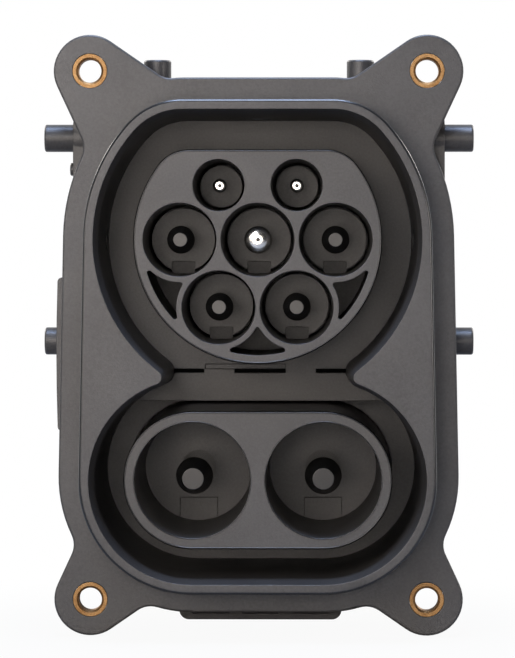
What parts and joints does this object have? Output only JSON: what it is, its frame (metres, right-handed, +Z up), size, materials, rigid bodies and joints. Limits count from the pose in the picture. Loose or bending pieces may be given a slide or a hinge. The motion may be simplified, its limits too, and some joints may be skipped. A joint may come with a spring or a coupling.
{
  "type": "combined charging inlet",
  "caption": "Vehicle charging inlet: flanged housing with eared plate and deep collar, AC pin group above, DC pin pair below, cable glands behind.",
  "frame": {"origin": "centre of the four mounting holes, on the rear face of the flange", "axes": "-Y is the mating side, where the plug comes in; +X is right as seen from there; +Z is up"},
  "size_m": [0.0956, 0.119, 0.1328],
  "materials": {
    "housing_plastic": "fine spark-eroded texture, satin black",
    "contact_plastic": "fine spark-eroded texture, satin dark grey",
    "cover_plastic": "fine texture, satin black",
    "nut_plastic": "smooth satin black",
    "cap_plastic": "smooth, half gloss black",
    "pin_metal": "silver plated, bright",
    "limiter_metal": "turned, bare, slightly dull",
    "seal_rubber": "matt black",
    "screw_steel": "zinc plated"
  },
  "bodies": {
    "root": {"ac_carrier_screws": "screw_steel", "ac_contact_shroud": "contact_plastic", "ac_gland_nut": "nut_plastic", "ac_gland_seal": "seal_rubber", "ac_pin_carrier": "contact_plastic", "ac_pin_retainer": "contact_plastic", "ac_retainer_screws": "screw_steel", "ac_shroud_gasket": "seal_rubber", "control_pilot_pin": "pin_metal", "control_pilot_pin_seal": "seal_rubber", "cover_gasket": "seal_rubber", "cover_screws": "screw_steel", "dc_carrier_gasket": "seal_rubber", "dc_carrier_screws": "screw_steel", "dc_contact_carrier": "contact_plastic", "dc_minus_gland_nut": "nut_plastic", "dc_minus_gland_seal": "seal_rubber", "dc_minus_pin": "pin_metal", "dc_minus_pin_cap": "cap_plastic", "dc_minus_pin_seal": "seal_rubber", "dc_minus_temperature_sensor": "cap_plastic", "dc_pin_retainer": "contact_plastic", "dc_plus_gland_nut": "nut_plastic", "dc_plus_gland_seal": "seal_rubber", "dc_plus_pin": "pin_metal", "dc_plus_pin_cap": "cap_plastic", "dc_plus_pin_seal": "seal_rubber", "dc_plus_temperature_sensor": "cap_plastic", "dc_retainer_screws": "screw_steel", "earth_pin": "pin_metal", "earth_pin_seal": "seal_rubber", "front_housing": "housing_plastic", "l1_pin": "pin_metal", "l1_pin_cap": "cap_plastic", "l1_pin_seal": "seal_rubber", "l2_pin": "pin_metal", "l2_pin_cap": "cap_plastic", "l2_pin_seal": "seal_rubber", "l3_pin": "pin_metal", "l3_pin_cap": "cap_plastic", "l3_pin_seal": "seal_rubber", "left_lock_port_seal": "seal_rubber", "lower_left_limiter": "limiter_metal", "lower_right_limiter": "limiter_metal", "neutral_pin": "pin_metal", "neutral_pin_cap": "cap_plastic", "neutral_pin_seal": "seal_rubber", "proximity_pin": "pin_metal", "proximity_pin_seal": "seal_rubber", "rear_cover": "cover_plastic", "right_lock_port_seal": "seal_rubber", "top_lock_port_seal": "seal_rubber", "upper_left_limiter": "limiter_metal", "upper_right_limiter": "limiter_metal"}
  },
  "joints": []
}
